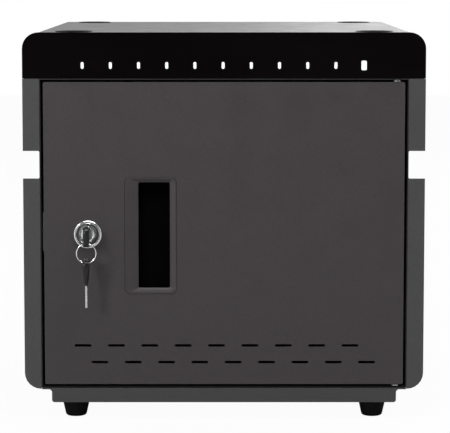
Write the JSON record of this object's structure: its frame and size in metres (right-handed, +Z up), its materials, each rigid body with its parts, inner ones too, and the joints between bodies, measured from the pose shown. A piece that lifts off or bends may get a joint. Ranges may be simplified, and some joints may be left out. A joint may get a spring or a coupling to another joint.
{
  "type": "device charging cabinet",
  "caption": "Desktop sheet-metal charging cabinet with divided bays, a keyed locking door, an indicator strip and stacking feet.",
  "frame": {"origin": "centre of the bounding box in X and Y, with the keys hanging in the lock, at the bottom of the feet", "axes": "+Z up, -Y out of the door, +X to the right of someone facing the door"},
  "size_m": [0.38, 0.4154, 0.37],
  "materials": {
    "frame_coat": "dark grey powder coat, fine satin texture",
    "door_coat": "warm dark grey powder coat, fine satin texture",
    "inner_coat": "black powder coat, satin",
    "gloss_black": "high gloss black",
    "light_guide": "translucent white",
    "circuit_board": "solder-resist green, semi-gloss",
    "black_plastic": "moulded black, fine grain",
    "divider_plastic": "moulded dark grey, satin",
    "rocker_plastic": "semi-gloss black",
    "key_plastic": "moulded black, satin",
    "rubber": "matt black",
    "chrome": "polished",
    "key_steel": "bright, lightly scratched",
    "plated_steel": "zinc plated, satin",
    "case_metal": "pressed sheet, satin"
  },
  "bodies": {
    "cabinet": {"front_frame": "frame_coat", "top_panel": "frame_coat", "side_panel_left": "frame_coat", "side_panel_right": "frame_coat", "rear_panel": "frame_coat", "base_tray": "frame_coat", "floor_panel": "inner_coat", "upper_deck": "inner_coat", "port_panel": "inner_coat", "indicator_panel": "gloss_black", "light_guide_strip": "light_guide", "indicator_board": "circuit_board", "usb_port_row": "circuit_board", "side_grip_left": "black_plastic", "side_grip_right": "black_plastic", "fan_frame": "black_plastic", "inlet_socket": "black_plastic", "switch_housing": "black_plastic", "charging_hub_case": "black_plastic", "divider_rack_lower": "divider_plastic", "divider_rack_upper": "divider_plastic", "divider_1": "divider_plastic", "divider_2": "divider_plastic", "divider_3": "divider_plastic", "divider_4": "divider_plastic", "divider_5": "divider_plastic", "divider_6": "divider_plastic", "divider_7": "divider_plastic", "divider_8": "divider_plastic", "divider_9": "divider_plastic", "divider_10": "divider_plastic", "divider_11": "divider_plastic", "foot_front_left": "rubber", "foot_front_right": "rubber", "foot_rear_left": "rubber", "foot_rear_right": "rubber", "stacking_cup_front_left": "rubber", "stacking_cup_front_right": "rubber", "stacking_cup_rear_left": "rubber", "stacking_cup_rear_right": "rubber", "fan_guard": "chrome", "hinge_pin_lower": "plated_steel", "hinge_pin_upper": "plated_steel", "lock_strike": "plated_steel", "power_supply_case": "case_metal"},
    "door": {"door_panel": "door_coat", "pull_bezel": "door_coat", "pull_cup": "black_plastic", "lock_housing": "chrome", "lock_nut": "plated_steel"},
    "lock_core": {"lock_plug": "chrome", "lock_cam": "plated_steel", "key_bow": "key_plastic", "key_blade": "key_steel"},
    "ring": {"key_ring": "chrome"},
    "spare_key": {"spare_key_bow": "key_plastic", "spare_key_blade": "key_steel"},
    "fan": {"fan_rotor": "black_plastic"},
    "rocker": {"power_rocker": "rocker_plastic"}
  },
  "joints": [
    {"name": "door_hinge", "type": "hinge", "parent": "cabinet", "child": "door", "pos_m": [0.1635, -0.16625, 0.178], "axis": [0, 0, 1], "range_deg": [0, 110]},
    {"name": "lock_turn", "type": "hinge", "parent": "door", "child": "lock_core", "pos_m": [-0.129, -0.17225, 0.1785], "axis": [0, 1, 0], "range_deg": [0, 90]},
    {"name": "ring_swing", "type": "hinge", "parent": "lock_core", "child": "ring", "pos_m": [-0.129, -0.19825, 0.1726], "axis": [1, 0, 0], "range_deg": [-45, 12]},
    {"name": "spare_key_swing", "type": "hinge", "parent": "ring", "child": "spare_key", "pos_m": [-0.129, -0.19825, 0.1543], "axis": [1, 0, 0], "range_deg": [-45, 8]},
    {"name": "fan_spin", "type": "hinge", "parent": "cabinet", "child": "fan", "pos_m": [0.095, 0.18975, 0.25], "axis": [0, 1, 0], "continuous": true},
    {"name": "rocker_tip", "type": "hinge", "parent": "cabinet", "child": "rocker", "pos_m": [-0.08, 0.20335, 0.072], "axis": [1, 0, 0], "range_deg": [-16, 0]}
  ]
}
